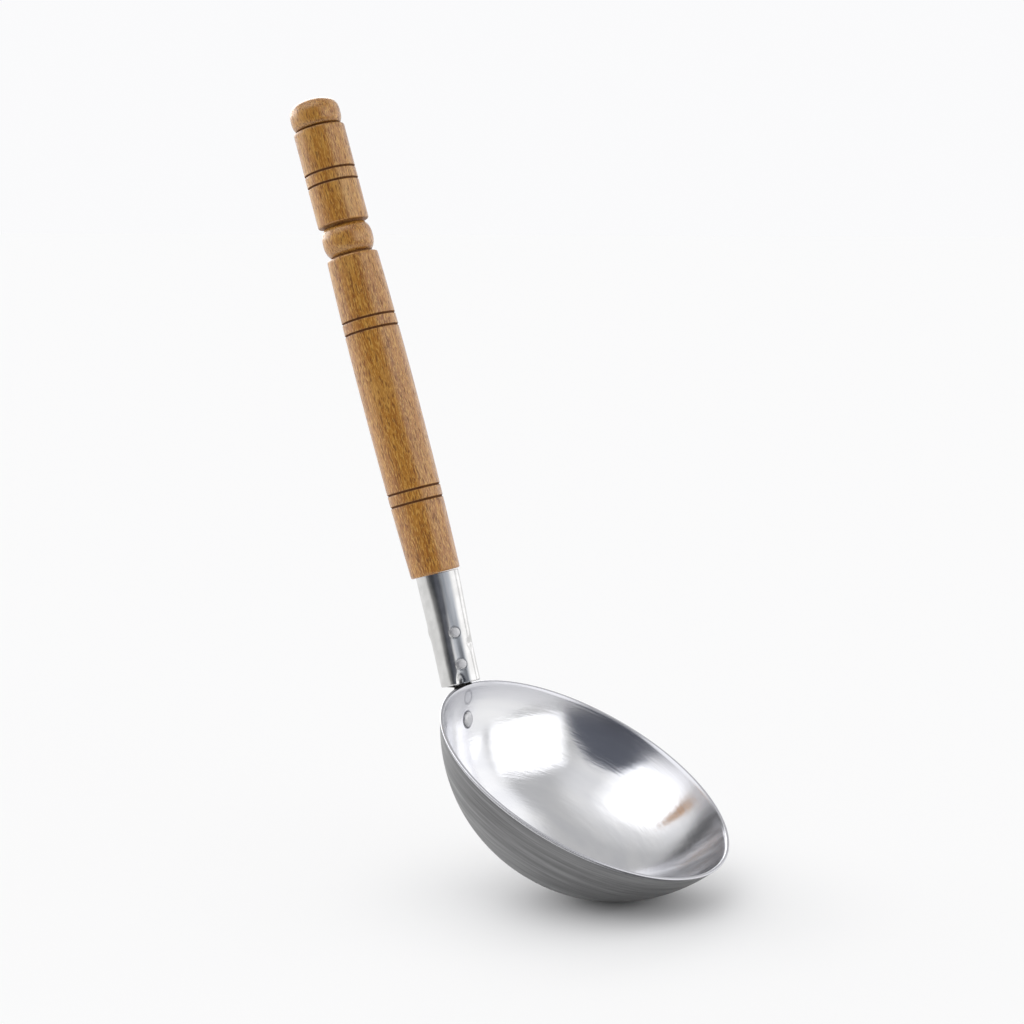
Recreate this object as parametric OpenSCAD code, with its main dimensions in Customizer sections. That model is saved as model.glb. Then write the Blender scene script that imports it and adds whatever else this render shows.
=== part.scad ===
// Soup ladle: a deep pressed metal bowl on a turned wooden handle.
// A metal socket tube holds the wood, and a riveted tang joins the tube to the bowl.
// Millimetres, +Z up. The ladle stands on the bottom of its bowl with the handle up,
// leaning towards -X, and its middle plane is y = 0. The origin is the middle of its
// box at the level of the surface that the bowl touches.

/* [Bowl] */
// Diameter across the outer edge of the mouth
bowl_d = 160; // [130:1:200]
// Depth from the mouth to the outside of the bottom
bowl_depth = 54.8; // [40:0.2:62]
// Thickness of the wall
bowl_wall = 1.6; // [1:0.1:2.4]
// Chamfer on both edges of the lip
lip_chamfer = 0.3; // [0.1:0.05:0.4]
// Lean of the bowl's axis from upright, in degrees
bowl_lean = 29.5; // [15:0.5:45]

/* [Handle pose] */
// Angle of the handle above the plane of the mouth, in degrees
handle_rise = 43.6; // [38:0.2:50]
// How far inside the rim's edge the handle's axis crosses the plane of the mouth
handle_inset = 0.3; // [0:0.1:1]

/* [Grip] */
// Length of the main grip
grip_len = 167.3; // [140:0.5:200]
// Greatest diameter of the swelled grip
grip_d = 28.5; // [27:0.1:32]
// Diameter of the grip's upper end
grip_top_d = 26.5; // [24:0.1:27]
// Diameter of the grip's lower end
grip_low_d = 25.6; // [24:0.1:27]
// Height of the greatest diameter above the grip's lower end
grip_swell_at = 98; // [80:1:120]
// Small chamfer on the turned edges
edge_chamfer = 0.8; // [0.3:0.1:1]

/* [Bead, collar and knob] */
// Diameter of the turned necks beside the bead
neck_d = 21.2; // [18:0.1:23.5]
// Width of each neck
neck_w = 1.2; // [0.8:0.1:3]
// Length of the bead
bead_len = 14.6; // [10:0.2:20]
// Diameter of the bead
bead_d = 26.1; // [24:0.1:27]
// Length of the plain collar
collar_len = 50.2; // [30:0.2:70]
// Diameter of the plain collar
collar_d = 26.5; // [24:0.1:27]
// Length of the end knob
knob_len = 14.8; // [12:0.2:20]
// Diameter of the end knob, no larger than the collar
knob_d = 26.4; // [22:0.1:26.4]

/* [Grooves] */
// Depth of the ring grooves
groove_depth = 0.6; // [0.3:0.1:1]
// Width of the ring grooves
groove_w = 1.3; // [0.8:0.1:2]
// Distance between the two grooves of a pair
groove_gap = 6.3; // [4:0.1:9]
// Height of the lower pair above the grip's lower end
low_pair_at = 40.7; // [25:0.5:60]
// Height of the upper pair above the grip's lower end
high_pair_at = 131; // [110:0.5:135]
// Height of the collar's pair above the collar's lower end
collar_pair_at = 24.2; // [10:0.5:25]

/* [Socket tube] */
// Length of the tube
tube_len = 57.4; // [48:0.2:70]
// Height of the tube's lower end above the plane of the mouth, along the handle
tube_start = 0.9; // [0.6:0.1:3]
// Outside diameter at the upper end
tube_top_d = 22.1; // [20:0.1:23]
// Outside diameter at the lower end
tube_low_d = 20.3; // [18.5:0.1:21]
// Thickness of the tube's wall
tube_wall = 1.2; // [0.8:0.1:1.5]
// Slant of the tube against the wood, in degrees
tube_slant = 2.5; // [0:0.1:3]
// Depth of the pressed flat at the lower rivet
flat_depth = 2.4; // [1:0.1:2.8]
// Further depth of the notch at the very end
notch_depth = 4.2; // [1:0.1:4.4]
// Direction of the notch around the tube, in degrees from the bowl side
notch_turn = -58; // [-90:1:-30]
// Depth of the punched dent on the bowl side
dent_depth = 0.7; // [0:0.1:0.9]
// Height of the dent above the tube's lower end
dent_at = 19; // [15:0.5:24]
// Height of the bump on the far side above the tube's lower end
bump_at = 28; // [22:0.5:34]

/* [Tube rivets] */
// Direction of the rivets around the tube, in degrees from the bowl side
rivet_turn = -42; // [-60:1:-20]
// Height of the lower rivet above the tube's lower end
rivet_low_at = 9.9; // [8:0.1:13]
// Distance between the two tube rivets
rivet_step = 16.3; // [13:0.1:19]
// Diameter of the rivet shanks
rivet_d = 3.6; // [2.8:0.1:4.2]
// Diameter of the rivet heads
rivet_head_d = 6.6; // [4.6:0.1:6.8]
// Height of the rivet heads
rivet_head_h = 1; // [0.6:0.1:1.6]

/* [Tang] */
// Thickness of the tang's flat ends
tang_t = 2.4; // [1.6:0.1:3]
// Width of the flat end inside the tube
blade_w = 13; // [9:0.5:14]
// Height of the blade's top above the tube's lower end
blade_top = 33; // [30:0.5:38]
// Height of the blade's lower end above the tube's lower end
blade_low = 6; // [5:0.1:7]
// Width of the bent neck at the tube's mouth
strap_w = 14.5; // [10:0.5:15]
// Width of the pad on the bowl
pad_w = 16; // [15:0.5:20]
// Length of the pad along the bowl's wall
pad_len = 27; // [25:0.5:32]
// Gap from the lip down to the pad's top
pad_drop = 1.2; // [0.6:0.1:3]

/* [Bowl rivets] */
// Distance of the upper rivet below the lip, along the wall
bowl_rivet_up_at = 7; // [6.5:0.1:8.5]
// Distance of the lower rivet below the lip, along the wall
bowl_rivet_low_at = 18.8; // [17:0.1:21]
// Turn of the rivets and pad off the middle plane, in degrees
pad_turn = -1.5; // [-3:0.1:3]
// Diameter of the bowl rivets' shanks
bowl_rivet_d = 5; // [4:0.1:5.6]
// Diameter of the bowl rivets' heads
bowl_rivet_head_d = 8.2; // [6.6:0.1:9]
// Height of the domed head inside the bowl
bowl_rivet_dome = 1.4; // [0.8:0.1:2]

/* [Fits] */
// Radial clearance of a rivet in its hole
hole_gap = 0.05; // [0.02:0.01:0.15]
// Radial squeeze of the wooden tenon in the tube
tenon_squeeze = 0.05; // [0.02:0.01:0.1]
// Clearance of the blade in the tenon's saw slot
slot_gap = 0.3; // [0.1:0.05:0.5]

/* [Hidden] */
$fn = 96;

// Colours
metal = [0.76, 0.77, 0.79];
dark_metal = [0.36, 0.36, 0.38];
wood = [0.74, 0.52, 0.29];

// The bowl is part of a hollow ball. Its centre lies above the mouth.
mouth_r = bowl_d / 2;
ball_r = (mouth_r * mouth_r + bowl_depth * bowl_depth) / (2 * bowl_depth);
ball_up = ball_r - bowl_depth;
// Angle from the bowl's axis out to the lip, seen from the ball's centre
lip_angle = atan2(mouth_r, ball_up);

// Handle axis: it crosses the plane of the mouth at this radius
handle_r = mouth_r - handle_inset;
handle_lean = 90 - handle_rise;

// Heights along the handle's axis
wood_start = tube_start + tube_len;
grip_end = wood_start + grip_len;
bead_start = grip_end + neck_w;
bead_end = bead_start + bead_len;
collar_start = bead_end + neck_w;
collar_end = collar_start + collar_len;
knob_start = collar_end + neck_w / 2;
handle_end = knob_start + knob_len;
// The tube's slant turns it about this height on the handle's axis
slant_pivot = wood_start - 14.7;
slant_turn = notch_turn - 90;

// Tenon of the wooden handle inside the tube
tenon_r = tube_top_d / 2 - tube_wall + tenon_squeeze;
tenon_end_r = tenon_r - 3.4;
tenon_low = rivet_low_at + 7;
tenon_straight = 40;

// Place of the whole ladle: its box is centred over the origin and touches z = 0
box_right = ball_up * sin(bowl_lean) * -1 + mouth_r * cos(bowl_lean);
tip_lean = handle_lean - bowl_lean;
foot_x = -ball_up * sin(bowl_lean) - handle_r * cos(bowl_lean);
box_left = foot_x + min([for (i = [0 : 60])
    let (h = knob_start + knob_len * i / 60) -h * sin(tip_lean) - knob_at(h) * cos(tip_lean)]);
shift_x = -(box_right + box_left) / 2;

// Smooth step from 0 to 1 between a and b
function step(x, a, b) = let (t = min(max((x - a) / (b - a), 0), 1)) t * t * (3 - 2 * t);
// Bell curve of half width w
function bell(x, w) = exp(-(x * x) / (w * w));
// Difference of two directions, from -180 to 180 degrees
function turn(a, b) = let (d = (a - b) % 360) d > 180 ? d - 360 : d < -180 ? d + 360 : d;

// Diameter of the swelled grip at a height above its lower end
function grip_at(h) =
    h < grip_swell_at
    ? grip_d - (grip_d - grip_low_d) * pow((grip_swell_at - h) / grip_swell_at, 2.2)
    : grip_d - (grip_d - grip_top_d) * pow((h - grip_swell_at) / (grip_len - grip_swell_at), 2);

// Radius of a turned bulge at a distance from its middle
function bulge(d, half, r, power) = r * pow(1 - pow(min(abs(d) / half, 1), power), 1 / power);

// Radius of the knob at a height on the handle, with a flattened top
function knob_at(h) = bulge(h - handle_end + knob_len * 0.6, knob_len * 0.6, knob_d / 2, 2.8);

// Radius of the tube's outside, or of its bore when w is the wall, at a direction and height.
// Above, it is round and tapered. Below, both rivet sides are pressed flat, the front ends in
// a notch, and there are a dent and a bump where the tube is punched against the wood.
function tube_r(a, h, w) =
    let (round_r = (tube_low_d + (tube_top_d - tube_low_d) * step(h, 12, tube_len)) / 2,
         flat = flat_depth * (1 - step(h, 14, 40)),
         end = bell(h, 5),
         front = rivet_turn + (notch_turn - rivet_turn) * bell(h, 9),
         front_w = 32 - 10 * end + 8 * w / tube_wall,
         dent = dent_depth * bell(turn(a, 7) * round_r * PI / 180, 2.2) * bell(h - dent_at, 2.6),
         bump = 0.4 * bell(turn(a, slant_turn) * round_r * PI / 180, 2.4) * bell(h - bump_at, 2.6))
    round_r - w - (flat + notch_depth * end) * bell(turn(a, front), front_w)
    - 0.8 * flat * bell(turn(a, rivet_turn + 180), 34) - dent + bump;

// Distance from the tube's axis to the seat of a rivet head, in front and behind
function seat_front(h) = tube_r(rivet_turn, h, 0);
function seat_back(h) = tube_r(rivet_turn + 180, h, 0);

// Places the bowl's own frame: the middle of its mouth with +Z out of the bowl
module in_bowl() {
    translate([shift_x, 0, ball_r])
        rotate([0, bowl_lean, 0])
            translate([0, 0, -ball_up])
                children();
}

// Places the handle's frame: +Z up the handle, +X towards the bowl
module in_handle() {
    in_bowl()
        translate([-handle_r, 0, 0])
            rotate([0, -handle_lean, 0])
                children();
}

// Places the tube's frame at its lower end, slanted against the wood
module in_tube() {
    in_handle()
        translate([0, 0, slant_pivot])
            rotate([0, 0, slant_turn])
                rotate([0, -tube_slant, 0])
                    rotate([0, 0, -slant_turn])
                        translate([0, 0, tube_start - slant_pivot])
                            children();
}

// Places a line out of the ball's centre through the wall, at a distance below the lip
module on_wall(down) {
    in_bowl()
        translate([0, 0, ball_up])
            rotate([0, 0, 180 + pad_turn])
                rotate([0, 180 - lip_angle + down / ball_r * 180 / PI, 0])
                    children();
}

// Low dome with a flat underside at z = 0
module dome(d, h) {
    dome_r = (d * d / 4 + h * h) / (2 * h);
    rotate_extrude()
        intersection() {
            translate([0, h - dome_r])
                circle(r = dome_r);
            square([d, h]);
        }
}

// Cross rivet: shank along X from the seat behind to the seat in front, a dome on each end
module cross_rivet(h) {
    in_tube()
        translate([0, 0, h])
            rotate([0, 0, rivet_turn])
                rotate([0, 90, 0]) {
                    translate([0, 0, -seat_back(h) - 0.2])
                        cylinder(d = rivet_d, h = seat_back(h) + seat_front(h) + 0.4);
                    translate([0, 0, seat_front(h)])
                        dome(rivet_head_d, rivet_head_h);
                    translate([0, 0, -seat_back(h)])
                        rotate([180, 0, 0])
                            dome(rivet_head_d, rivet_head_h);
                }
}

// Hole for a cross rivet, right through tube, wood and blade. The tube's is flat-sided.
module cross_hole(h, sides = 96) {
    in_tube()
        translate([0, 0, h])
            rotate([0, 0, rivet_turn])
                rotate([0, 90, 0])
                    translate([0, 0, -tube_top_d])
                        cylinder(d = (rivet_d + 2 * hole_gap) / cos(180 / sides),
                                 h = 2 * tube_top_d, $fn = sides);
}

// Hole for a bowl rivet, through wall and pad
module wall_hole(down) {
    on_wall(down)
        translate([0, 0, ball_r - 6])
            cylinder(d = bowl_rivet_d + 2 * hole_gap, h = 14);
}

// Pressed bowl: a slice of a hollow ball with a chamfered lip and two rivet holes
module bowl() {
    lip_slope = 90 - lip_angle;
    lip_in = mouth_r - bowl_wall / cos(lip_slope);
    color(metal)
        difference() {
            in_bowl()
                rotate_extrude($fn = 180)
                    difference() {
                        intersection() {
                            translate([0, ball_up])
                                difference() {
                                    circle(r = ball_r);
                                    circle(r = ball_r - bowl_wall);
                                }
                            translate([0, -bowl_depth - 1])
                                square([mouth_r + 1, bowl_depth + 1]);
                        }
                        translate([mouth_r, 0])
                            rotate(45)
                                square(lip_chamfer * sqrt(2), center = true);
                        translate([lip_in, 0])
                            rotate(45)
                                square(lip_chamfer * sqrt(2), center = true);
                    }
            wall_hole(bowl_rivet_up_at);
            wall_hole(bowl_rivet_low_at);
        }
}

// Flat half of a ring groove, a V cut into radius r at a height
module groove(r, h) {
    polygon([[r - groove_depth, h], [r + 1, h - groove_w / 2 - 0.6], [r + 1, h + groove_w / 2 + 0.6]]);
}

// Half outline of the wooden handle, from the shoulder on the tube up to the knob
module handle_outline() {
    grip_steps = 24;
    bead_steps = 12;
    knob_steps = 16;
    bead_mid = (bead_start + bead_end) / 2;
    bead_half = bead_len * 0.72;
    grip = [for (i = [0 : grip_steps])
        let (h = edge_chamfer + (grip_len - 2 * edge_chamfer) * i / grip_steps)
        [grip_at(h) / 2, wood_start + h]];
    bead = [for (i = [0 : bead_steps])
        let (h = bead_start + bead_len * i / bead_steps)
        [bulge(h - bead_mid, bead_half, bead_d / 2, 2.5), h]];
    knob = [for (i = [0 : knob_steps])
        let (h = knob_start + knob_len * sin(90 * i / knob_steps))
        [knob_at(h), h]];
    polygon(concat(
        [[0, wood_start], [grip_low_d / 2 - edge_chamfer, wood_start]],
        grip,
        [[grip_top_d / 2 - edge_chamfer, grip_end], [neck_d / 2, grip_end], [neck_d / 2, bead_start]],
        bead,
        [[neck_d / 2, bead_end], [neck_d / 2, collar_start],
         [collar_d / 2 - edge_chamfer, collar_start], [collar_d / 2, collar_start + edge_chamfer],
         [collar_d / 2, collar_end - edge_chamfer], [collar_d / 2 - edge_chamfer, collar_end],
         [neck_d / 2, collar_end], [neck_d / 2, knob_start]],
        knob));
}

// Turned wooden handle with a slotted tenon that fills the upper part of the tube
module wooden_handle() {
    color(wood)
        difference() {
            union() {
                in_handle()
                    rotate_extrude()
                        difference() {
                            handle_outline();
                            for (side = [-0.5, 0.5]) {
                                groove(grip_at(low_pair_at) / 2, wood_start + low_pair_at + side * groove_gap);
                                groove(grip_at(high_pair_at) / 2, wood_start + high_pair_at + side * groove_gap);
                                groove(collar_d / 2, collar_start + collar_pair_at + side * groove_gap);
                            }
                        }
                in_tube() {
                    translate([0, 0, tenon_straight])
                        cylinder(r = tenon_r, h = tube_len - tenon_straight + 4);
                    translate([0, 0, tenon_low])
                        cylinder(r1 = tenon_end_r, r2 = tenon_r, h = tenon_straight - tenon_low);
                }
            }
            in_tube()
                rotate([0, 0, rivet_turn])
                    translate([-tang_t / 2 - slot_gap, -tube_top_d, tenon_low - 1])
                        cube([tang_t + 2 * slot_gap, 2 * tube_top_d, blade_top + slot_gap - tenon_low + 1]);
            cross_hole(rivet_low_at + rivet_step);
        }
}

// Socket tube, lofted ring by ring from the pressed and notched lower end to the round top
module socket_tube() {
    sides = 56;
    heights = [for (i = [0 : 20]) tube_len * pow(i / 20, 1.25)];
    rings = len(heights);
    outer = [for (h = heights) for (k = [0 : sides - 1])
        let (a = 360 * k / sides, r = tube_r(a, h, 0)) [r * cos(a), r * sin(a), h]];
    inner = [for (h = heights) for (k = [0 : sides - 1])
        let (a = 360 * k / sides, r = tube_r(a, h, tube_wall)) [r * cos(a), r * sin(a), h]];
    n = sides * rings;
    walls = [for (i = [0 : rings - 2]) for (k = [0 : sides - 1])
        let (j = (k + 1) % sides, p = i * sides)
        each [[p + k, p + sides + k, p + j], [p + j, p + sides + k, p + sides + j],
              [n + p + k, n + p + j, n + p + sides + k], [n + p + j, n + p + sides + j, n + p + sides + k]]];
    top = n - sides;
    ends = [for (k = [0 : sides - 1])
        let (j = (k + 1) % sides)
        each [[k, j, n + k], [j, n + j, n + k],
              [top + k, n + top + k, top + j], [top + j, n + top + k, n + top + j]]];
    color(metal)
        difference() {
            in_tube()
                polyhedron(points = concat(outer, inner), faces = concat(walls, ends));
            cross_hole(rivet_low_at, 12);
            cross_hole(rivet_low_at + rivet_step, 12);
        }
}

// One thin slice of the tang's bent neck, from the tube's mouth (0) up to the blade (1)
module neck_slice(part) {
    slice_w = strap_w + (blade_w - 0.2 - strap_w) * part;
    slice_t = tang_t - 0.1;
    in_tube()
        translate([-3.2 * (1 - part), 0.6 * (1 - part), 0.2 + (blade_low - 0.2) * part])
            rotate([0, 0, rivet_turn * (1 + 2 * part) / 3])
                translate([-slice_t / 2, -slice_w / 2, 0])
                    cube([slice_t, slice_w, 0.4]);
}

// Tang: a bar with one flat end, the blade, in the tube and the other, the pad, on the bowl
module tang() {
    color(dark_metal)
        difference() {
            union() {
                // Blade inside the tube, turned to face the cross rivets
                in_tube()
                    rotate([0, 0, rivet_turn])
                        translate([-tang_t / 2, -blade_w / 2, blade_low])
                            cube([tang_t, blade_w, blade_top - blade_low]);
                // Neck that bends over the lip and twists into the tube
                hull() {
                    on_wall(pad_drop + 2)
                        translate([0, -strap_w / 2, ball_r + 0.1])
                            cube([0.4, strap_w, tang_t]);
                    neck_slice(0);
                }
                for (i = [0 : 1])
                    hull() {
                        neck_slice(i / 2);
                        neck_slice((i + 1) / 2);
                    }
                // Curved pad that lies on the outside of the bowl
                intersection() {
                    in_bowl()
                        translate([0, 0, ball_up])
                            difference() {
                                sphere(r = ball_r + tang_t);
                                sphere(r = ball_r + 0.02);
                            }
                    on_wall(pad_drop + pad_len / 2)
                        translate([0, 0, ball_r - 8])
                            linear_extrude(16)
                                pad_outline();
                }
            }
            wall_hole(bowl_rivet_up_at);
            wall_hole(bowl_rivet_low_at);
            cross_hole(rivet_low_at);
            cross_hole(rivet_low_at + rivet_step);
        }
}

// Outline of the pad: straight sides, round lower end. +X runs down the wall.
module pad_outline() {
    translate([-pad_len / 2, -pad_w / 2])
        square([pad_len - pad_w / 2, pad_w]);
    translate([pad_len / 2 - pad_w / 2, 0])
        circle(d = pad_w);
}

// Upper rivet through tube, wood and blade
module tube_rivet_upper() {
    color(metal)
        cross_rivet(rivet_low_at + rivet_step);
}

// Lower rivet through the pressed end of the tube and the blade
module tube_rivet_lower() {
    color(metal)
        cross_rivet(rivet_low_at);
}

// Rivet near the lip, hammered flush inside the bowl
module bowl_rivet_upper() {
    color(metal)
        on_wall(bowl_rivet_up_at) {
            translate([0, 0, ball_r - bowl_wall])
                cylinder(d = bowl_rivet_d, h = bowl_wall + tang_t + 0.2);
            translate([0, 0, ball_r + tang_t])
                dome(bowl_rivet_head_d, bowl_rivet_dome);
        }
}

// Rivet lower on the wall, with a dome inside the bowl and one on the pad
module bowl_rivet_lower() {
    color(metal)
        on_wall(bowl_rivet_low_at) {
            translate([0, 0, ball_r - bowl_wall - 0.2])
                cylinder(d = bowl_rivet_d, h = bowl_wall + tang_t + 0.4);
            translate([0, 0, ball_r + tang_t])
                dome(bowl_rivet_head_d, bowl_rivet_dome);
            translate([0, 0, ball_r - bowl_wall])
                rotate([180, 0, 0])
                    dome(bowl_rivet_head_d, bowl_rivet_dome);
        }
}

bowl();
wooden_handle();
socket_tube();
tang();
tube_rivet_upper();
tube_rivet_lower();
bowl_rivet_upper();
bowl_rivet_lower();
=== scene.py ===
# Soup ladle: a polished metal bowl on a flat tang, with a socket tube and a turned wooden handle.
# Metres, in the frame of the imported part. Sizes are written in millimetres times MM.
import math

import bmesh
import bpy
from mathutils import Matrix, Vector, noise


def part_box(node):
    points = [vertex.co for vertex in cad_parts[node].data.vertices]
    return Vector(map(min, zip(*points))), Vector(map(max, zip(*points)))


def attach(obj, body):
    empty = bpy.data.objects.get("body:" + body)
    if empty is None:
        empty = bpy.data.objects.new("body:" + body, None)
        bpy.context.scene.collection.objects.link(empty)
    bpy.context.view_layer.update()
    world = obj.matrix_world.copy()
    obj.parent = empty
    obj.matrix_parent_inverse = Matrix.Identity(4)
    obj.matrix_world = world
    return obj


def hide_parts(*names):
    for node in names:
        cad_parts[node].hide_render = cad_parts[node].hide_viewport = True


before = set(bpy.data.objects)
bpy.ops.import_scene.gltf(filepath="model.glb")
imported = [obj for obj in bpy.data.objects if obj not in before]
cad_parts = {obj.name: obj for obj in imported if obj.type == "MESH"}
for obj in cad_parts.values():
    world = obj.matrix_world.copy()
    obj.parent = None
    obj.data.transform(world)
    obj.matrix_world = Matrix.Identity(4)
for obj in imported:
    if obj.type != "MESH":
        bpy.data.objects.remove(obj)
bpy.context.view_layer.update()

# Camera
# It stands in front of the ladle and a little to the right, and looks slightly down.
# The middle of the picture falls on the air beside the grip's lower end.
MM = 0.001
lip_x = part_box("bowl")[1].x
look_at = Vector((lip_x - 107.7 * MM, -7.3 * MM, 189.1 * MM))
view_turn = math.radians(28.61)
view_drop = math.radians(7.28)
view_distance = 1137 * MM
picture_px = 1024
focal_px = 2300
sensor_mm = 36

view_line = Vector((
    -math.sin(view_turn) * math.cos(view_drop),
    math.cos(view_turn) * math.cos(view_drop),
    -math.sin(view_drop),
))
camera_data = bpy.data.cameras.new("camera")
camera_data.sensor_width = sensor_mm
camera_data.lens = sensor_mm * focal_px / picture_px
camera = bpy.data.objects.new("camera", camera_data)
camera.location = look_at - view_line * view_distance
camera.rotation_euler = view_line.to_track_quat("-Z", "Y").to_euler()
bpy.context.scene.collection.objects.link(camera)
bpy.context.scene.camera = camera

# Bowl
# A deep bowl pressed from aluminium sheet and finished on a lathe: polished inside,
# brushed outside, with a plain cut lip. Two rivets through its wall hold the tang.
mouth_r = 80 * MM
bowl_depth = 54.8 * MM
bowl_wall = 1.6 * MM
bowl_lean = math.radians(29.5)
bowl_sides = 288
bowl_steps = 70
lip_round = 0.45 * MM
lip_turn = 0.35  # degrees of wall that the rounding of the lip takes up
bowl_rivet_up = 7 * MM
bowl_rivet_low = 18.8 * MM
bowl_head_r = 4.1 * MM
pad_turn = math.radians(-1.5)
hand_wobble = 0.10 * MM
# Ripples left by hand: the share and fineness of each layer, and where its noise starts.
wobble_layers = (
    (1.0, 3.1, Vector((4.2, 0.3, 1.7))),
    (0.35, 9, Vector()),
    (0.07, 26, Vector()),
)
calm_below_lip = 9 * MM
inside_packed = 0.9988  # draws the wobbled wall in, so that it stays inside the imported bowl
brushed_from = 1.2 * MM

# Bands of the finish inside: heights above the lip, and distances from the bowl's middle towards
# its pouring side, where a dark reflection is painted.
lip_edge = (-0.55 * MM, -0.2 * MM)
lip_worn = (-15 * MM, -1 * MM)
painted_reflection_reach = (40 * MM, 55 * MM)
seat_shadow_blur = 1.2 * MM

mirror_low = (0.80, 0.805, 0.83)
mirror_high = (0.88, 0.88, 0.89)
lip_grey = (0.52, 0.52, 0.56)
painted_reflection_grey = (0.16, 0.16, 0.17)
seat_shadow_and_grime = (0.1, 0.1, 0.12)
brushed_low = (0.15, 0.15, 0.152)
brushed_high = (0.38, 0.38, 0.382)

ball_r = (mouth_r ** 2 + bowl_depth ** 2) / (2 * bowl_depth)
ball_up = ball_r - bowl_depth
lip_angle = math.atan2(mouth_r, ball_up)
lip_reach = mouth_r * math.cos(bowl_lean) - ball_up * math.sin(bowl_lean)
ball_x = lip_x - lip_reach
bowl_place = (
    Matrix.Translation((ball_x, 0, ball_r))
    @ Matrix.Rotation(bowl_lean, 4, "Y")
    @ Matrix.Translation((0, 0, -ball_up))
)


def piece(name, mesh, place):
    """Puts a finished bmesh into the scene in its place, smooth shaded, riding on the ladle."""
    bmesh.ops.recalc_face_normals(mesh, faces=mesh.faces)
    mesh.transform(place)
    data = bpy.data.meshes.new(name)
    mesh.to_mesh(data)
    mesh.free()
    data.shade_smooth()
    obj = bpy.data.objects.new(name, data)
    bpy.context.scene.collection.objects.link(obj)
    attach(obj, "root")
    return obj


def loft(mesh, rings):
    """Joins closed rings of equal length with quads. A ring of one point closes the end."""
    rows = [[mesh.verts.new(p) for p in ring] for ring in rings]
    for low, high in zip(rows, rows[1:]):
        count = max(len(low), len(high))
        for k in range(count):
            j = (k + 1) % count
            bottom = [low[k % len(low)], low[j % len(low)]]
            top = [high[j % len(high)], high[k % len(high)]]
            mesh.faces.new(list(dict.fromkeys(bottom + top)))


def turned(outline, sides):
    """Rings of an outline of (radius, height) points turned about the Z axis."""
    rings = []
    for r, z in outline:
        if r < 1e-7:
            rings.append([Vector((0, 0, z))])
        else:
            angles = [math.tau * k / sides for k in range(sides)]
            rings.append([Vector((r * math.cos(a), r * math.sin(a), z)) for a in angles])
    return rings


def arc(centre, radius, start, end, steps):
    """Points of an arc in the outline's plane, with angles from the radius axis."""
    angles = [math.radians(start + (end - start) * i / steps) for i in range(steps + 1)]
    return [(centre[0] + radius * math.cos(a), centre[1] + radius * math.sin(a)) for a in angles]


class Signal:
    """One socket of a material's nodes, so that shader maths reads as Python maths."""

    def __init__(self, tree, socket):
        self.tree = tree
        self.socket = socket

    def node(self, kind, settings=(), out=0, **inputs):
        """Adds a node of a kind, with its settings first and then its sockets' values or links."""
        made = self.tree.nodes.new(kind)
        for name, value in dict(settings).items():
            if name == "stops":
                while len(made.color_ramp.elements) < len(value):
                    made.color_ramp.elements.new(1)
                for element, (place, colour) in zip(made.color_ramp.elements, value):
                    element.position = place
                    element.color = (*colour, 1)
            else:
                setattr(made, name, value)
        for name, value in inputs.items():
            numbered = name[0] == "i" and name[1:].isdigit()
            key = int(name[1:]) if numbered else name.replace("_", " ")
            if isinstance(value, Signal):
                self.tree.links.new(value.socket, made.inputs[key])
            else:
                made.inputs[key].default_value = value
        return Signal(self.tree, made.outputs[out])

    def other(self, name):
        """Another output of the node that this signal comes from."""
        return Signal(self.tree, self.socket.node.outputs[name])

    def maths(self, operation, first, second=0.0):
        return self.node("ShaderNodeMath", {"operation": operation}, i0=first, i1=second)

    def __add__(self, other):
        return self.maths("ADD", self, other)

    def __radd__(self, other):
        return self.maths("ADD", other, self)

    def __sub__(self, other):
        return self.maths("SUBTRACT", self, other)

    def __rsub__(self, other):
        return self.maths("SUBTRACT", other, self)

    def __mul__(self, other):
        return self.maths("MULTIPLY", self, other)

    def __rmul__(self, other):
        return self.maths("MULTIPLY", other, self)

    def __truediv__(self, other):
        return self.maths("DIVIDE", self, other)

    def __pow__(self, other):
        return self.maths("POWER", self, other)

    def ramp(self, *stops):
        """A colour for each value, from stops of a value and a colour."""
        return self.node("ShaderNodeValToRGB", {"stops": stops}, Fac=self)

    def between(self, low, high):
        """0 below low and 1 above high, smooth in between."""
        settings = {"interpolation_type": "SMOOTHSTEP", "clamp": True}
        return self.node("ShaderNodeMapRange", settings, Value=self, From_Min=low, From_Max=high)

    def mix(self, low, high):
        """The colour low where this is 0 and high where it is 1."""
        low = low if isinstance(low, Signal) else (*low, 1)
        high = high if isinstance(high, Signal) else (*high, 1)
        return self.node("ShaderNodeMix", {"data_type": "RGBA"}, 2, i0=self, i6=low, i7=high)

    def axes(self):
        """The three coordinates of a place, each as a signal."""
        split = self.node("ShaderNodeSeparateXYZ", Vector=self)
        return split, split.other("Y"), split.other("Z")

    def distance(self, place):
        """How far this place is from another."""
        return self.node(
            "ShaderNodeVectorMath", {"operation": "DISTANCE"}, "Value", i0=self, i1=place)

    def along(self, direction):
        """How much of this place or direction lies along another direction."""
        return self.node(
            "ShaderNodeVectorMath", {"operation": "DOT_PRODUCT"}, "Value", i0=self, i1=direction)

    def speckle(self, scale=1.0, detail=3.0, rough=0.5):
        """Noise over a place."""
        return self.node(
            "ShaderNodeTexNoise", Vector=self, Scale=scale, Detail=detail, Roughness=rough)

    def relief(self, strength, depth):
        """Bump from this height, for a shader's Normal."""
        return self.node("ShaderNodeBump", Strength=strength, Distance=depth, Height=self)


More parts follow.
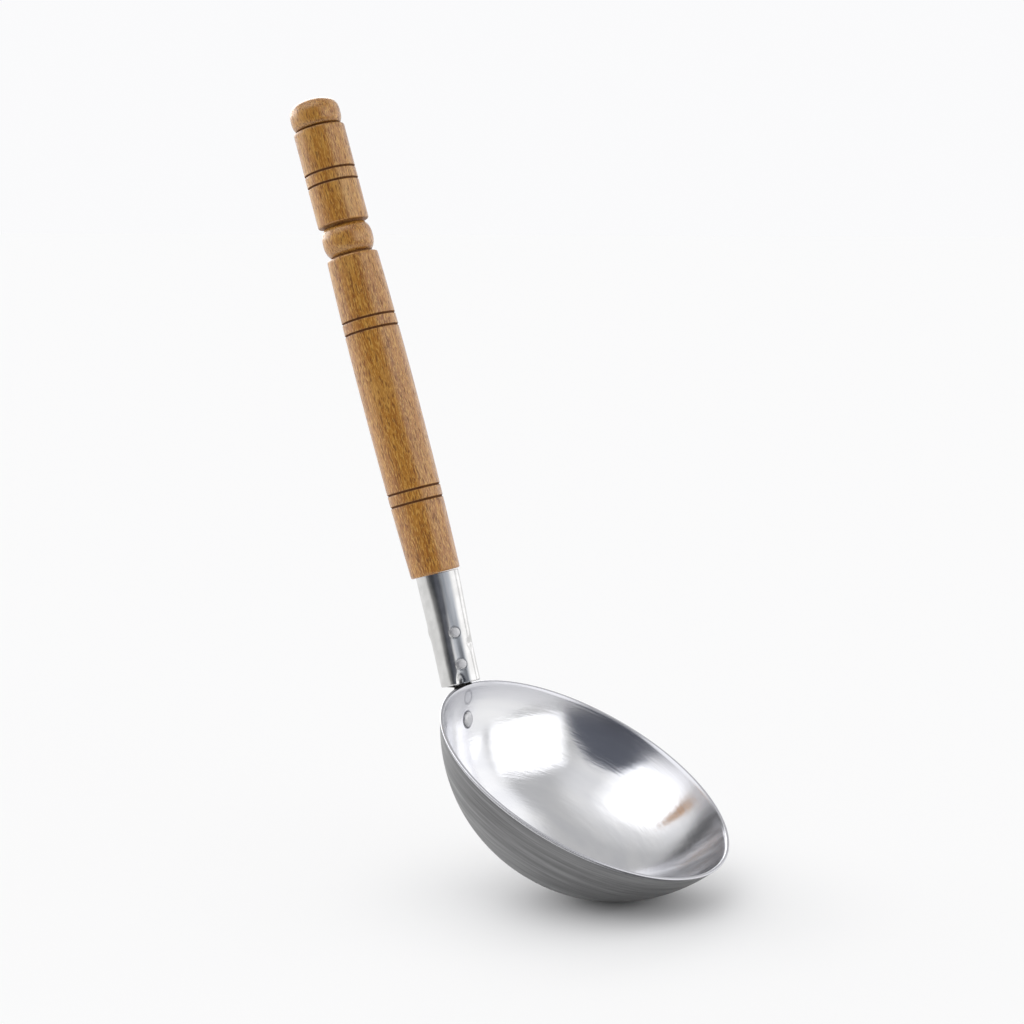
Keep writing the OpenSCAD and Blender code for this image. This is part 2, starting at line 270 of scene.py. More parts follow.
def finish(name, place, **constants):
    """A new material, its shader and the place of a surface point in a piece's own frame."""
    material = bpy.data.materials.new(name)
    material.use_nodes = True
    shader = material.node_tree.nodes["Principled BSDF"]
    for key, value in constants.items():
        shader.inputs[key.replace("_", " ")].default_value = value
    start = Signal(material.node_tree, None)
    own = place.inverted()
    spot = start.node("ShaderNodeTexCoord", out="Object")
    spot = start.node(
        "ShaderNodeMapping", {"vector_type": "POINT"},
        Vector=spot, Location=own.translation, Rotation=own.to_euler(),
    )
    return material, shader, spot


def stretched(x, y, z):
    """A place from three coordinates that hold the noise's fineness, for drawn-out noise."""
    return x.node("ShaderNodeCombineXYZ", X=x, Y=y, Z=z)


def plug(shader, **signals):
    """Links signals to the shader's sockets."""
    for name, signal in signals.items():
        signal.tree.links.new(signal.socket, shader.inputs[name.replace("_", " ")])


def bowl_outline():
    """From the middle of the floor inside, up over the rounded lip and down the outside."""
    inner_r = ball_r - bowl_wall
    inner_lip = math.degrees(math.asin(ball_up / inner_r))
    outer_lip = math.degrees(math.asin(ball_up / ball_r))
    lip_in = inner_r * math.cos(math.radians(inner_lip))
    inside = arc((0, ball_up), inner_r, -90, -inner_lip - lip_turn, bowl_steps)
    outside = arc((0, ball_up), ball_r, -outer_lip - lip_turn, -90, bowl_steps)
    lip = arc((lip_in + lip_round, -lip_round), lip_round, 165, 90, 5)
    lip += arc((mouth_r - lip_round, -lip_round), lip_round, 90, -20, 6)
    inside[0] = (0, inside[0][1])
    outside[-1] = (0, outside[-1][1])
    return inside + lip + outside


def on_wall(down):
    """Frame on a line out of the ball's centre through the wall, at a distance below the lip."""
    return (
        bowl_place
        @ Matrix.Translation((0, 0, ball_up))
        @ Matrix.Rotation(math.pi + pad_turn, 4, "Z")
        @ Matrix.Rotation(math.pi - lip_angle + down / ball_r, 4, "Y")
    )


bowl_mesh = bmesh.new()
loft(bowl_mesh, turned(bowl_outline(), bowl_sides))
ball_centre = Vector((0, 0, ball_up))
for vert in bowl_mesh.verts:
    ray = (vert.co - ball_centre).normalized()
    swell = sum(share * noise.noise(ray * fine + start) for share, fine, start in wobble_layers)
    lip_fade = min(1, max(0, -vert.co.z / calm_below_lip))
    vert.co += ray * (hand_wobble * swell * lip_fade)
    vert.co.xy *= inside_packed
bowl = piece("pressed_bowl", bowl_mesh, bowl_place)
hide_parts("bowl")

# Inside: fine turning marks, broad soft waves, a polish that is worn dull towards the lip, and a
# painted dark reflection towards the pouring side.
polished, shader, spot = finish("polished_inside", bowl_place, Metallic=1.0)
across, aside, height = spot.axes()
from_axis = (across * across + aside * aside) ** 0.5
bearing = spot.maths("ARCTAN2", aside, across)
lathe = stretched(from_axis * 900.0, bearing * 1.6, height * 900.0).speckle(detail=4.0, rough=0.7)
broad = stretched(from_axis * 90.0, bearing * 1.2, height * 90.0).speckle()
polish = stretched(from_axis * 300.0, bearing * 5.0, height * 300.0).speckle(rough=0.6)
streak = stretched(bearing * 9.0, height * 40.0, 7.0).speckle()
below_lip = 1.0 - height.between(*lip_edge)
lip_band = height.between(*lip_worn)
# Painted dark reflection: a grey band on the wall towards the pouring side, broken by streaks,
# that stops below the lip.
painted_reflection_band = across.between(*painted_reflection_reach) * (0.55 + streak.between(0.3, 0.7) * 0.3) * below_lip
shine = broad.between(0.3, 0.7).mix(mirror_low, mirror_high)
shine = (lip_band * 0.6).mix(shine, lip_grey)
shine = painted_reflection_band.mix(shine, painted_reflection_grey)
# A painted shadow, with some grime, as a dark ring in the joint round each rivet: its place below
# the lip, its shift sideways, where it starts to fade and has faded, and how dark it is.
for down, shift, inner, outer, amount in (
    (bowl_rivet_low, 0.6 * MM, 4.3 * MM, 5.0 * MM, 1.0),
    (bowl_rivet_up, 0, 3.4 * MM, 4.6 * MM, 0.35),
):
    seat = bowl_place.inverted() @ on_wall(down) @ Vector((0, shift, ball_r - bowl_wall))
    reach = spot.distance(seat)
    ring = (1.0 - reach.between(inner, outer)) * reach.between(inner - seat_shadow_blur, inner)
    shine = (ring * amount).mix(shine, seat_shadow_and_grime)
plug(
    shader,
    Base_Color=shine,
    Roughness=0.07 + lathe * 0.12 + lip_band * 0.12,
    Normal=(lathe + broad * 1.6 + polish * 2.0).relief(strength=0.3, depth=0.1 * MM),
)
bowl.data.materials.append(polished)

# Outside: brushed round and round, with darker bands and a few bright scratches.
brushed, shader, spot = finish("brushed_outside", bowl_place, Metallic=1.0)
across, aside, height = spot.axes()
bearing = spot.maths("ARCTAN2", aside, across)
fine = stretched(height * 1500.0, bearing * 2.0, 0.0).speckle(detail=4.0, rough=0.75)
band = stretched(height * 260.0, bearing * 0.8, 3.0).speckle(detail=2.0)
scratch = band.between(0.62, 0.66)
plug(
    shader,
    Base_Color=(fine * 0.6 + band * 0.4).between(0.3, 0.75).mix(brushed_low, brushed_high),
    Roughness=0.42 + fine * 0.14 - scratch * 0.1,
    Normal=(fine + band).relief(strength=0.25, depth=0.1 * MM),
)
bowl.data.materials.append(brushed)
for face in bowl.data.polygons:
    middle = bowl_place.inverted() @ face.center
    outside = (middle - ball_centre).length > ball_r - bowl_wall * 0.4
    face.material_index = 1 if outside and middle.z < -brushed_from else 0

# Wooden handle
# One stick of hardwood turned on a lathe: a swelled grip, a bead, a plain collar and a
# knob, with cut ring grooves, under a thin clear varnish. Its tenon sits in the tube.
handle_rise = math.radians(43.6)
handle_inset = 0.3 * MM
wood_start = 58.3 * MM
stick_sides = 128
grip_len = 167.3 * MM
grip_r = 14.25 * MM
grip_top_r = 13.25 * MM
grip_low_r = 12.8 * MM
grip_swell_at = 98 * MM
neck_r = 10.6 * MM
neck_w = 1.2 * MM
neck_cut_r = neck_r + 0.3 * MM
bead_len = 14.6 * MM
bead_r = 13.05 * MM
bead_round = 2.5  # how square the bulge is: 2 is an ellipse
bead_half = bead_len * 0.72
bead_steps = 24
collar_len = 50.2 * MM
collar_r = 13.25 * MM
knob_len = 14.78 * MM
knob_r = 13.0 * MM
knob_round = 2.8
knob_half = knob_len * 0.6
knob_steps = 36
groove_depth = 0.6 * MM
groove_w = 1.3 * MM
groove_gap = 6.3 * MM
groove_pairs = (40.7 * MM, 131 * MM)
collar_pair = 24.2 * MM
groove_cuts = (-0.7, -0.5, -0.42, -0.2, -0.08, 0.08, 0.2, 0.42, 0.5, 0.7)
edge_r = 1.0 * MM
outline_step = 1.2 * MM

grain_stops = (
    (0.28, (0.28, 0.092, 0.005)),
    (0.44, (0.45, 0.172, 0.012)),
    (0.58, (0.55, 0.238, 0.024)),
    (0.75, (0.64, 0.335, 0.055)),
)
fibre_brown = (0.37, 0.125, 0.006)
fleck_gold = (0.76, 0.42, 0.080)
patch_gold = (0.70, 0.38, 0.09)
pore_brown = (0.15, 0.045, 0.005)
groove_painted_shade = (0.09, 0.030, 0.008)

grip_end = wood_start + grip_len
bead_start = grip_end + neck_w
bead_end = bead_start + bead_len
collar_start = bead_end + neck_w
collar_end = collar_start + collar_len
knob_start = collar_end + neck_w / 2
handle_end = knob_start + knob_len
handle_place = (
    bowl_place
    @ Matrix.Translation((handle_inset - mouth_r, 0, 0))
    @ Matrix.Rotation(handle_rise - math.pi / 2, 4, "Y")
)
groove_heights = [wood_start + at for at in groove_pairs] + [collar_start + collar_pair]
groove_heights = [at + side * groove_gap for at in groove_heights for side in (-0.5, 0.5)]


def grip_radius(h):
    """Radius of the swelled grip at a height above its lower end."""
    if h < grip_swell_at:
        return grip_r - (grip_r - grip_low_r) * ((grip_swell_at - h) / grip_swell_at) ** 2.2
    return grip_r - (grip_r - grip_top_r) * ((h - grip_swell_at) / (grip_len - grip_swell_at)) ** 2


def bulge(d, half, r, power):
    """Radius of a turned bulge at a distance from its middle."""
    return r * (1 - min(abs(d) / half, 1) ** power) ** (1 / power)


def with_grooves(start, end, radius_at):
    """Points up a turned stretch, with a rounded V at each groove that lies on it."""
    count = max(2, round((end - start) / outline_step))
    heights = {start + (end - start) * i / count for i in range(count + 1)}
    cuts = [at for at in groove_heights if start < at < end]
    for at in cuts:
        heights = {h for h in heights if abs(h - at) > groove_w * 0.75}
        heights |= {at + groove_w * share for share in groove_cuts}
    points = []
    for h in sorted(heights):
        near = min((abs(h - at) for at in cuts), default=1)
        depth = groove_depth * max(0, 1 - (near / (groove_w / 2)) ** 1.2)
        points.append((radius_at(h) - depth, h))
    return points


def stick_outline():
    """Half outline of the turned stick, from the shoulder on the tube up to the knob's tip."""
    bead_mid = (bead_start + bead_end) / 2
    knob_mid = handle_end - knob_half
    points = [(0, wood_start), (grip_low_r - edge_r, wood_start)]
    points += arc((grip_low_r - edge_r, wood_start + edge_r), edge_r, -75, 0, 5)
    points += with_grooves(
        wood_start + 2 * edge_r, grip_end - 2 * edge_r, lambda h: grip_radius(h - wood_start))
    points += arc((grip_top_r - edge_r, grip_end - edge_r), edge_r, 0, 90, 5)
    points += arc((neck_cut_r, grip_end + neck_w / 2), neck_w / 2, -120, -240, 6)
    for i in range(bead_steps + 1):
        h = bead_start + bead_len * i / bead_steps
        points.append((bulge(h - bead_mid, bead_half, bead_r, bead_round), h))
    points += arc((neck_cut_r, bead_end + neck_w / 2), neck_w / 2, -120, -240, 6)
    points += arc((collar_r - edge_r, collar_start + edge_r), edge_r, -90, 0, 5)
    points += with_grooves(collar_start + 2 * edge_r, collar_end - 2 * edge_r, lambda h: collar_r)
    points += arc((collar_r - edge_r, collar_end - edge_r), edge_r, 0, 90, 5)
    points.append((neck_r, collar_end + neck_w / 4))
    for i in range(knob_steps + 1):
        h = knob_start + knob_len * math.sin(math.pi / 2 * i / knob_steps)
        points.append((bulge(h - knob_mid, knob_half, knob_r, knob_round), h))
    points[-1] = (0, handle_end)
    return points


stick_mesh = bmesh.new()
loft(stick_mesh, turned(stick_outline(), stick_sides))
handle = piece("turned_handle", stick_mesh, handle_place)
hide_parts("wooden_handle")

varnished, shader, spot = finish(
    "varnished_wood", handle_place,
    Metallic=0.0, IOR=1.4, Coat_Roughness=0.26, Coat_IOR=1.62,
)
across, aside, along = spot.axes()


def wood_noise(fine, long, detail, rough=0.5, waver=0.0):
    """Noise drawn out along the stick: how fine it is across and along it, in cells a metre."""
    return stretched(across * fine + waver, aside * fine, along * long).speckle(1.0, detail, rough)


drift = wood_noise(fine=40.0, long=6.0, detail=2.0)
grain = wood_noise(fine=330.0, long=13.0, detail=5.0, rough=0.62, waver=drift * 3.0)
fibre = wood_noise(fine=1500.0, long=90.0, detail=3.0, rough=0.65)
fleck = wood_noise(fine=1900.0, long=380.0, detail=2.0, rough=0.6)
patch = wood_noise(fine=60.0, long=22.0, detail=2.0)
pores = wood_noise(fine=1800.0, long=250.0, detail=1.0).between(0.57, 0.65)
wood_tone = grain.ramp(*grain_stops)
wood_tone = (fibre.between(0.38, 0.62) * 0.62).mix(wood_tone, fibre_brown)
wood_tone = (fleck.between(0.48, 0.64) * 0.7).mix(wood_tone, fleck_gold)
wood_tone = (patch.between(0.52, 0.72) * 0.4).mix(wood_tone, patch_gold)
wood_tone = (pores * 0.7).mix(wood_tone, pore_brown)
# The cut grooves and the three necks are bare of varnish, and painted shade darkens them.
in_groove = 0.0
for at in groove_heights:
    offset = spot.maths("ABSOLUTE", along - at)
    in_groove = (1.0 - offset.between(groove_w * 0.3, groove_w * 0.62)) + in_groove
for at in (grip_end + neck_w / 2, bead_end + neck_w / 2, collar_end + neck_w / 4):
    offset = spot.maths("ABSOLUTE", along - at)
    in_groove = in_groove + (1.0 - offset.between(neck_w * 0.3, neck_w)) * 0.75
wood_tone = (in_groove * 0.9).mix(wood_tone, groove_painted_shade)
plug(
    shader,
    Base_Color=wood_tone,
    Roughness=0.4 + pores * 0.2 + fibre * 0.1 + in_groove * 0.4,
    Coat_Weight=1.0 - in_groove - pores * 0.5,
    Normal=(fibre * 0.5 + fleck * 0.4 + grain * 0.3 - pores * 0.9).relief(
        strength=0.35, depth=0.2 * MM),
)
handle.data.materials.append(varnished)

# Socket tube
# A thin polished tube. It is round where it holds the wood and pressed flat onto the tang
# at the two rivets. A small fold is knocked into its lower end.
tube_len = 57.4 * MM
tube_start = 0.9 * MM
tube_top_r = 11.05 * MM
tube_low_r = 10.15 * MM
tube_wall = 1.2 * MM
tube_slant = math.radians(2.5)
tube_sides = 192
tube_steps = 150
tube_edge = 0.3 * MM
# Pressed flats at the rivets, in front and behind, and a notch in the lower edge. Widths are
# half widths in degrees. A pair gives the outside's width and what the bore adds to it.
press_end = 12 * MM
flat_depth = 1.9 * MM
flat_end = 46 * MM
flat_loss = 0.25
flat_width = (33, 6)
back_flat = 0.8
back_width = 34
notch_depth = 1.4 * MM
notch_turn = -58
notch_rise = 3.5 * MM
notch_width = (9, 4)
# Where the tube is punched into the wood: a dent on one side and a bump on the other.
dent_depth = 0.7 * MM
dent_turn = 7
dent_at = 19 * MM
dent_half = 2.2 * MM
bump_height = 0.4 * MM
bump_turn = notch_turn - 90
bump_at = 28 * MM
bump_half = 2.4 * MM
punch_rise = 2.6 * MM
# Finish: painted shade in the fold of the notch, and a band in front with a painted dark blue-grey
# reflection. The band's pairs are the directions, in radians, between which it starts and ends.
fold_size = (0.5 * MM, 1.3 * MM)
fold_share = 0.74
fold_squash = 0.32
reflection_band_starts = (-1.15, -0.8)
reflection_band_ends = (-0.5, -0.25)
rivet_turn = -42
rivet_low_at = 9.9 * MM
rivet_step = 16.3 * MM
rivet_head_r = 3.35 * MM

tube_low_grey = (0.64, 0.635, 0.625)
tube_high_grey = (0.74, 0.735, 0.725)
tube_reflection_blue = (0.26, 0.28, 0.31)
fold_painted_shade = (0.05, 0.05, 0.055)

slant_pivot = wood_start - 14.7 * MM
slant_axis = math.radians(notch_turn - 90)
tube_place = (
    handle_place
    @ Matrix.Translation((0, 0, slant_pivot))
    @ Matrix.Rotation(slant_axis, 4, "Z")
    @ Matrix.Rotation(-tube_slant, 4, "Y")
    @ Matrix.Rotation(-slant_axis, 4, "Z")
    @ Matrix.Translation((0, 0, tube_start - slant_pivot))
)


def step(x, low, high):
    """Smooth step from 0 to 1 between low and high."""
    t = min(max((x - low) / (high - low), 0), 1)
    return t * t * (3 - 2 * t)


def bell(x, w):
    """Bell curve of half width w."""
    return math.exp(-(x / w) ** 2)


def turn(a, b):
    """Difference of two directions in degrees, from -180 to 180."""
    return (a - b + 180) % 360 - 180


def punched(a, h, r, towards, at, half):
    """Bell-shaped mark on the tube at a direction and a height, 1 in its middle."""
    way = turn(a, towards) * r * math.pi / 180
    return bell(way, half) * bell(h - at, punch_rise)


def tube_radius(a, h, w):
    """Radius at a direction and height: of the outside for w 0, of the bore for w the wall."""
    bore = w / tube_wall
    round_r = tube_low_r + (tube_top_r - tube_low_r) * step(h, press_end, tube_len)
    flat = flat_depth * (1 - flat_loss * step(h, press_end, flat_end))
    front_press = flat * bell(turn(a, rivet_turn), flat_width[0] + flat_width[1] * bore)
    back_press = back_flat * flat * bell(turn(a, rivet_turn + 180), back_width)
    notch = notch_depth * bell(h, notch_rise)
    notch *= bell(turn(a, notch_turn), notch_width[0] + notch_width[1] * bore)
    dent = dent_depth * punched(a, h, round_r, dent_turn, dent_at, dent_half)
    bump = bump_height * punched(a, h, round_r, bump_turn, bump_at, bump_half)
    return round_r - w - front_press - notch - back_press - dent + bump


def tube_rings():
    """Rings up the outside, over the upper edge and down the bore, softened at the lower end."""
    heights = [tube_len * i / tube_steps for i in range(tube_steps + 1)]
    levels = [(h, 0) for h in heights] + [(h, tube_wall) for h in reversed(heights)]
    soft = {0: -tube_edge, len(levels) - 1: tube_edge}
    rings = []
    for i, (h, w) in enumerate(levels):
        ring = []
        for k in range(tube_sides):
            a = 360 * k / tube_sides
            r = tube_radius(a, h, w) + soft.get(i, 0)
            ring.append(Vector((r * math.cos(math.radians(a)), r * math.sin(math.radians(a)), h)))
        rings.append(ring)
    return rings + rings[:1]


tube_mesh = bmesh.new()
loft(tube_mesh, tube_rings())
bmesh.ops.remove_doubles(tube_mesh, verts=tube_mesh.verts, dist=1e-6)
tube = piece("riveted_socket", tube_mesh, tube_place)
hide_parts("socket_tube")

tube_finish, shader, spot = finish("drawn_tube", tube_place, Metallic=1.0)
across, aside, along = spot.axes()
bearing = spot.maths("ARCTAN2", aside, across)
draw = stretched(across * 700.0, aside * 700.0, along * 25.0).speckle(detail=4.0, rough=0.65)
smudge = spot.speckle(scale=160.0)
# Painted shade in the fold of the notch at the tube's lower end.
fold_way = math.radians(notch_turn)
fold_r = tube_low_r * fold_share
fold_at = (fold_r * math.cos(fold_way), fold_r * math.sin(fold_way), 0)
fold = stretched(across, aside, along * fold_squash).distance(fold_at)
in_fold = 1.0 - fold.between(*fold_size)
# Painted dark blue-grey reflection in a band down the front of the tube.
tube_reflection_band = bearing.between(*reflection_band_starts) * (1 - bearing.between(*reflection_band_ends))
sheen = smudge.between(0.35, 0.7).mix(tube_low_grey, tube_high_grey)
sheen = (tube_reflection_band * (0.6 + draw * 0.5)).mix(sheen, tube_reflection_blue)
plug(
    shader,
    Base_Color=(in_fold * 0.9).mix(sheen, fold_painted_shade),
    Roughness=0.1 + draw * 0.1 + smudge * 0.06,
    Normal=(draw + smudge * 0.2).relief(strength=0.1, depth=0.1 * MM),
)
tube.data.materials.append(tube_finish)

# Tang
# A flat bar riveted to the outside of the bowl. It bends over the lip, twists, and runs
# up inside the tube, where the two cross rivets hold it.
tang_t = 2.4 * MM
bar_edge = 0.5 * MM
blade_w = 13 * MM
blade_low = 6 * MM
blade_top = 33 * MM
strap_w = 14.5 * MM
strap_shift = Vector((-3.2 * MM, 0.6 * MM, 0))
pad_w = 16 * MM
pad_len = 27 * MM
pad_drop = 1.2 * MM
pad_gap = 0.05 * MM
pad_steps = 24
pad_tip = 0.7 * MM

bar_black_low = (0.05, 0.045, 0.04)
bar_black_high = (0.17, 0.16, 0.15)


def bar_ring(place, width):
    """Rounded section of the bar: its width along Y and its thickness along X of a frame."""
    corners = []
    for sx, sy, first in ((1, 1, 0), (-1, 1, 90), (-1, -1, 180), (1, -1, 270)):
        middle = (sx * (tang_t / 2 - bar_edge), sy * (width / 2 - bar_edge))
        corners += arc(middle, bar_edge, first, first + 90, 4)
    return [place @ Vector((x, y, 0)) for x, y in corners]


def ring_middle(ring):
    """A ring's middle, as the ring of one point that closes an end."""
    return [sum(ring, Vector()) / len(ring)]


def tang_rings():
    """Sections from the pad's round lower end, up the wall, over the lip and into the tube."""
    rings = []
    for i in range(pad_steps + 1):
        down = pad_drop + pad_len * (1 - i / pad_steps)
        over = max(0, down - (pad_drop + pad_len - pad_w / 2))
        width = 2 * math.sqrt(max((pad_w / 2) ** 2 - over ** 2, pad_tip ** 2))
        lift = Matrix.Translation((0, 0, ball_r + tang_t / 2 + pad_gap))
        rings.append(bar_ring(on_wall(down) @ lift @ Matrix.Rotation(math.pi / 2, 4, "Y"), width))
    for part in (0, 0.25, 0.5, 0.75, 1):
        shift = strap_shift * (1 - part) + Vector((0, 0, blade_low * part))
        twist = math.radians(rivet_turn * (1 + 2 * part) / 3) + math.pi
        place = tube_place @ Matrix.Translation(shift) @ Matrix.Rotation(twist, 4, "Z")
        rings.append(bar_ring(place, strap_w + (blade_w - strap_w) * part))
    twist = math.radians(rivet_turn) + math.pi
    place = tube_place @ Matrix.Translation((0, 0, blade_top)) @ Matrix.Rotation(twist, 4, "Z")
    rings.append(bar_ring(place, blade_w))
    return [ring_middle(rings[0])] + rings + [ring_middle(rings[-1])]


tang_mesh = bmesh.new()
loft(tang_mesh, tang_rings())
tang = piece("tang_bar", tang_mesh, Matrix.Identity(4))
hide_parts("tang")

# The bar is coloured nearly black all over, with noise in its tone and roughness.
bar_black_metal, shader, spot = finish("black_bar", tube_place, Metallic=1.0)
scale = spot.speckle(scale=420.0, detail=5.0, rough=0.6)
plug(
    shader,
    Base_Color=scale.between(0.3, 0.7).mix(bar_black_low, bar_black_high),
    Roughness=0.42 + scale * 0.25,
    Normal=scale.relief(strength=0.3, depth=0.2 * MM),
)
tang.data.materials.append(bar_black_metal)

# Rivets
# Soft aluminium rivets with low hammered heads. Two cross the tube and the tang's blade, the
# upper one through the wood too. Two hold the pad on the bowl, the one near the lip flush.
head_h = 1 * MM
head_sunk = 0.05 * MM
bowl_dome = 1.4 * MM
flush_dome = 0.1 * MM
dome_sunk = 0.03 * MM
dome_steps = 12
rivet_sides = 64
hammer_dent = 0.04 * MM
hammer_cells = 900

rivet_low_grey = (0.50, 0.50, 0.51)
rivet_high_grey = (0.74, 0.74, 0.75)


def button_outline(r, h, base):
    """Half outline of a flat-topped head with a burr ring round it, from its middle outwards.

    The bare numbers are shares of the head's radius, of its height or of the burr.
    """
    face_r = r * 0.79
    edge = h * 0.42
    burr = r * 0.11
    points = [(0, base + h), (face_r * 0.4, base + h * 0.985), (face_r * 0.75, base + h * 0.94)]
    points += arc((face_r - edge, base + h * 0.9 - edge), edge, 75, 0, 5)
    points += [(face_r, base + 0.12 * h), (r - 2.0 * burr, base + 0.1 * h)]
    points += arc((r - burr, base + 0.22 * h), burr, 170, -20, 8)
    return points + [(r - 0.2 * burr, base - 0.25 * MM)]


def dome_outline(r, h, base):
    """Half outline of a low dome on a seat at height base, with a softly rounded rim."""
    angles = [math.pi / 2 * (1 - i / dome_steps) for i in range(1, dome_steps + 1)]
    points = [(r * math.cos(a) ** 0.75, base + h * math.sin(a) ** 0.85) for a in angles]
    return [(0, base + h)] + points


def hammered(mesh, seed):
    """Small dents all over a rivet, as the hammer leaves them."""
    for vert in mesh.verts:
        dent = noise.noise(vert.co * hammer_cells + Vector((seed, 2 * seed, 0)))
        vert.co += vert.co.normalized() * dent * hammer_dent


def rivet(name, place, front, back, node, seed):
    """Shank along the frame's Z axis, with a head on each end. Outlines start at their tips."""
    points = front + [(r, -z) for r, z in reversed(back)]
    mesh = bmesh.new()
    loft(mesh, turned(points, rivet_sides))
    hammered(mesh, seed)
    obj = piece(name, mesh, place)
    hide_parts(node)
    return obj


rivets = []
crosses = []
for name, node, h, seed in (
    ("cross_rivet_low", "tube_rivet_lower", rivet_low_at, 3.1),
    ("cross_rivet_high", "tube_rivet_upper", rivet_low_at + rivet_step, 7.7),
):
    cross = (
        tube_place
        @ Matrix.Translation((0, 0, h))
        @ Matrix.Rotation(math.radians(rivet_turn), 4, "Z")
        @ Matrix.Rotation(math.pi / 2, 4, "Y")
    )
    crosses.append(cross)
    heads = [
        button_outline(rivet_head_r, head_h, tube_radius(way, h, 0) - head_sunk)
        for way in (rivet_turn, rivet_turn + 180)
    ]
    rivets.append(rivet(name, cross, *heads, node, seed))
for name, node, down, dome_in, seed in (
    ("bowl_rivet_domed", "bowl_rivet_lower", bowl_rivet_low, bowl_dome, 1.3),
    ("bowl_rivet_flush", "bowl_rivet_upper", bowl_rivet_up, flush_dome, 5.9),
):
    through = on_wall(down) @ Matrix.Translation((0, 0, ball_r))
    outside = dome_outline(bowl_head_r, bowl_dome, tang_t)
    inside = dome_outline(bowl_head_r, dome_in, bowl_wall - dome_sunk)
    rivets.append(rivet(name, through, outside, inside, node, seed))

rivet_metal, shader, spot = finish("hammered_rivet", tube_place, Metallic=1.0)
speck = spot.speckle(scale=2600.0, detail=4.0, rough=0.7)
plug(
    shader,
    Base_Color=speck.between(0.35, 0.7).mix(rivet_low_grey, rivet_high_grey),
    Roughness=0.26 + speck * 0.2,
    Normal=speck.relief(strength=0.4, depth=0.1 * MM),
)
for obj in rivets:
    obj.data.materials.append(rivet_metal)
# The burr round a cross rivet's head is raised from the tube, and has its finish.
for obj, cross in zip(rivets, crosses):
    obj.data.materials.append(tube_finish)
    for face in obj.data.polygons:
        middle = cross.inverted() @ face.center
        face.material_index = 1 if math.hypot(middle.x, middle.y) > rivet_head_r * 0.8 else 0

# Floor and light
# A pale floor with soft lamps and shades set out round the ladle. Floor and room grow
# darker on the side of the camera, which gives the polished metal its dark reflections.
floor_half = 40.0
paper_white = (0.9, 0.9, 0.9)
paper_glow = (0.975, 0.975, 0.975)
paper_dark = (0.2, 0.2, 0.2)
dark_from, dark_to = 0.48, 1.1
fill_reach = 0.16
fill_most = 0.72
room_white = (1.0, 1.0, 1.01)
room_shade = (0.86, 0.92, 1.12)

floor_data = bpy.data.meshes.new("floor")
corners = [(floor_half * x, floor_half * y, 0) for x, y in ((-1, -1), (1, -1), (1, 1), (-1, 1))]
floor_data.from_pydata(corners, [], [(0, 1, 2, 3)])
floor = bpy.data.objects.new("floor", floor_data)
bpy.context.scene.collection.objects.link(floor)
floor_paint = bpy.data.materials.new("floor_paint")
floor_paint.use_nodes = True
shader = floor_paint.node_tree.nodes["Principled BSDF"]
shader.inputs["Roughness"].default_value = 1.0
shader.inputs["Specular IOR Level"].default_value = 0.0
floor.data.materials.append(floor_paint)
paper = Signal(floor_paint.node_tree, None)
ground = paper.node("ShaderNodeTexCoord", out="Object")
far_side = ground.along(-Vector((view_line.x, view_line.y, 0)).normalized())
far_side = far_side.between(dark_from, dark_to)
plug(shader, Base_Color=far_side.mix(paper_white, paper_dark))
# Where it is seen or mirrored, a fill that grows away from the ladle takes the floor to
# white and leaves the shadow under the bowl.
ray = paper.node("ShaderNodeLightPath")
seen = ray + ray.other("Is Glossy Ray") + ray.other("Is Transmission Ray")
fill = ground.distance((ball_x, 0, 0)).between(0.0, fill_reach) * fill_most * seen
lit = Signal(paper.tree, shader.outputs["BSDF"])
glow = paper.node("ShaderNodeEmission", Color=far_side.mix(paper_glow, paper_dark), Strength=1.0)
sheet = paper.node("ShaderNodeMixShader", Fac=fill, i1=lit, i2=glow)
paper.tree.links.new(sheet.socket, paper.tree.nodes["Material Output"].inputs["Surface"])

world = bpy.data.worlds.new("studio")
world.use_nodes = True
bpy.context.scene.world = world
room = Signal(world.node_tree, None)
way = room.node("ShaderNodeTexCoord", out="Generated")


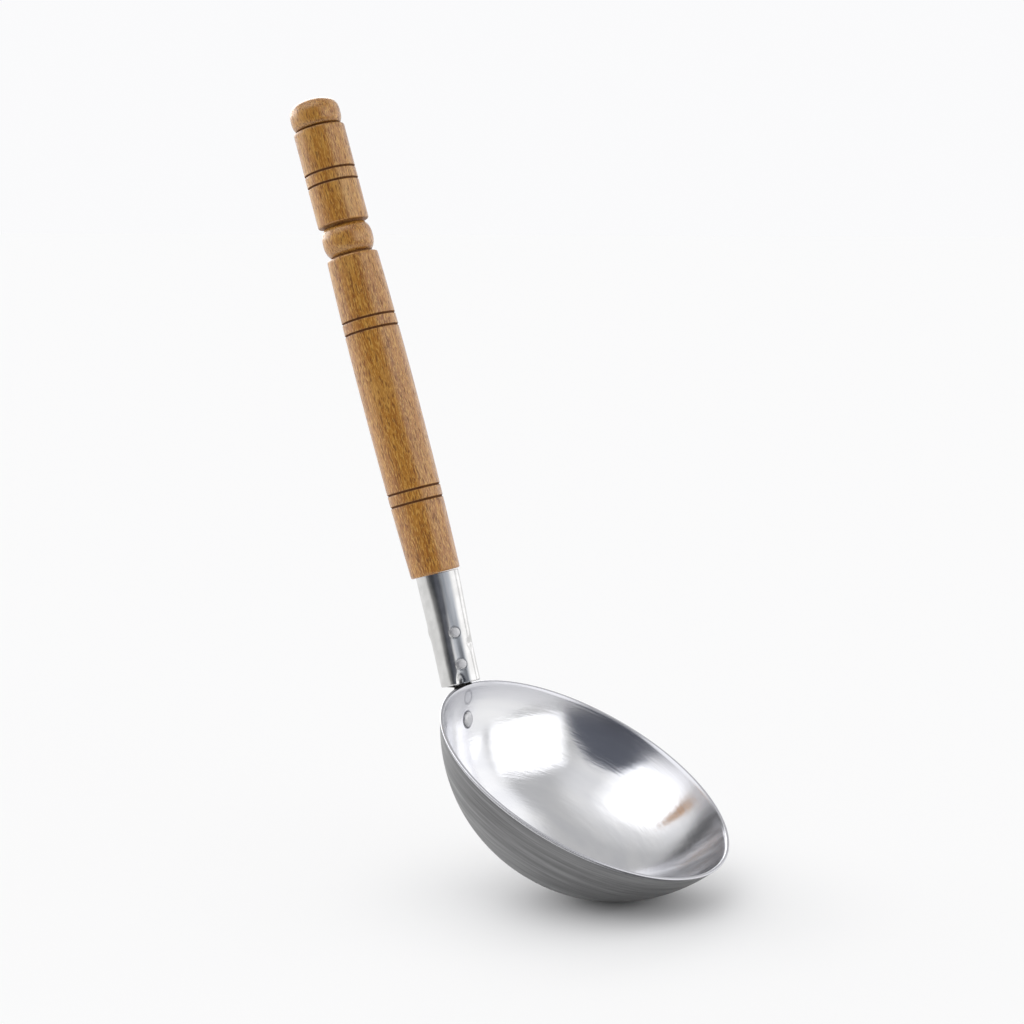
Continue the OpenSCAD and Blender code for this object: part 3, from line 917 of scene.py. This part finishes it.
def soft_box(turn_deg, rise_deg, roll_deg, half_wide, half_high, feather):
    """Mask of a rectangle of light or shade in the room, seen from the ladle, with soft edges.

    All sizes are in degrees, and the feather is a share of the half sizes.
    """
    place = (
        Matrix.Rotation(math.radians(turn_deg), 3, "Z")
        @ Matrix.Rotation(math.radians(-rise_deg), 3, "Y")
        @ Matrix.Rotation(math.radians(roll_deg), 3, "X")
    )
    front = way.along(place @ Vector((1, 0, 0)))
    ahead = way.maths("MAXIMUM", front, 0.001)
    wide = way.maths("ABSOLUTE", way.along(place @ Vector((0, 1, 0))) / ahead)
    high = way.maths("ABSOLUTE", way.along(place @ Vector((0, 0, 1))) / ahead)
    mask = front.between(0, 0.05)
    for reach, half in ((wide, half_wide), (high, half_high)):
        edge = math.tan(math.radians(half))
        mask = mask * (1 - reach.between(edge * (1 - feather), edge * (1 + feather)))
    return mask


right_lamp = soft_box(4, 9, -13, 30, 24, 0.14)
side_lamp = soft_box(60, 14, 0, 20, 34, 0.5)
left_lamp = soft_box(180, 8, 0, 36, 20, 0.35)
top_lamp = soft_box(-108, 57, 6, 26, 23, 0.4)
top_glow = soft_box(-100, 62, 0, 50, 32, 0.5)
back_lamp = soft_box(131, 25, 0, 20, 15, 0.25)
pale_back = soft_box(118, 0, 0, 75, 14, 0.25)
dark_side = soft_box(-70, 7, 30, 36, 34, 0.07) * soft_box(-70, 7, -20, 40, 38, 0.07)
dark_low = soft_box(-86, 0, 0, 26, 12, 0.4)
dark_back = soft_box(166, 41, 0, 18, 7, 0.6)
# The even light of the room with its shades taken out, then the lamps with their strengths.
strength = 0.53 * (1 - dark_side * 0.76) * (1 - dark_low * 0.65) * (1 - dark_back * 0.55)
strength = strength + (right_lamp * 0.9 + top_lamp * 0.65 + top_glow * 0.3) * (1 - dark_side)
strength = strength + side_lamp * 0.6 + left_lamp * 2.6 + pale_back * 0.43 + back_lamp * 3.0
sky = world.node_tree.nodes["Background"]
plug(sky, Color=dark_side.mix(room_white, room_shade), Strength=strength)

bpy.context.scene.view_settings.view_transform = "Standard"
